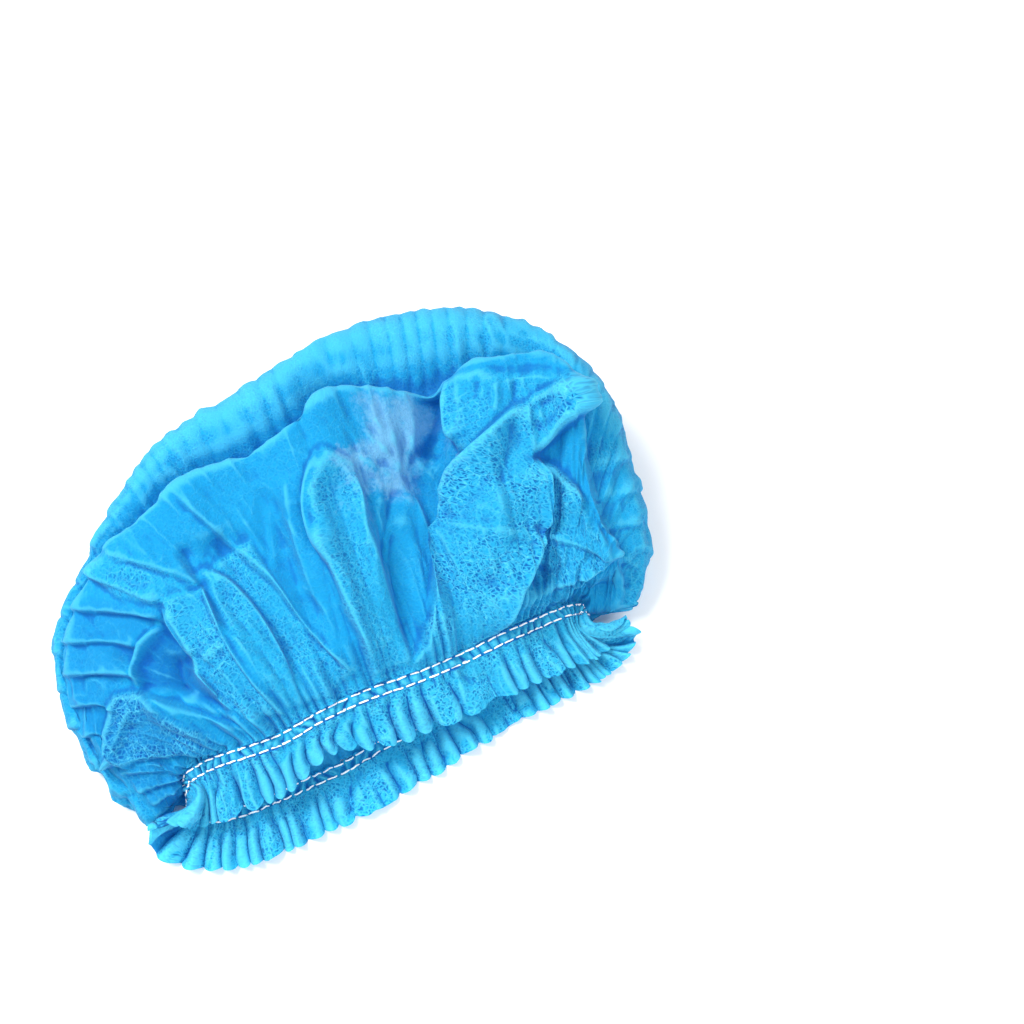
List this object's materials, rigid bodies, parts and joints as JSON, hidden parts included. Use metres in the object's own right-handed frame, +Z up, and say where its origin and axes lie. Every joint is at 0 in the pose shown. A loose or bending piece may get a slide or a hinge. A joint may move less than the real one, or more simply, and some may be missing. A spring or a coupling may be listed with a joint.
{
  "type": "disposable hairnet",
  "caption": "Disposable bouffant hairnet of thin pleated nonwoven fabric, opened and lying on its lower layer, with a gathered elastic band and a ruffled frill round the mouth.",
  "frame": {"origin": "on the surface the cap lies on, under the centre of its bounding box", "axes": "+X along the mouth from its left end to its right end seen from the front, +Y from the mouth back into the crown, +Z up from the surface it lies on"},
  "size_m": [0.3098, 0.2212, 0.093],
  "materials": {
    "crown": "thin matt spunbond nonwoven, slightly see-through",
    "elastic_band": "gathered nonwoven over elastic, two rows of white stitches",
    "frill": "thin matt spunbond nonwoven, ruffled"
  },
  "bodies": {
    "root": {"crown": "crown", "elastic_band": "elastic_band", "frill": "frill"}
  },
  "joints": []
}
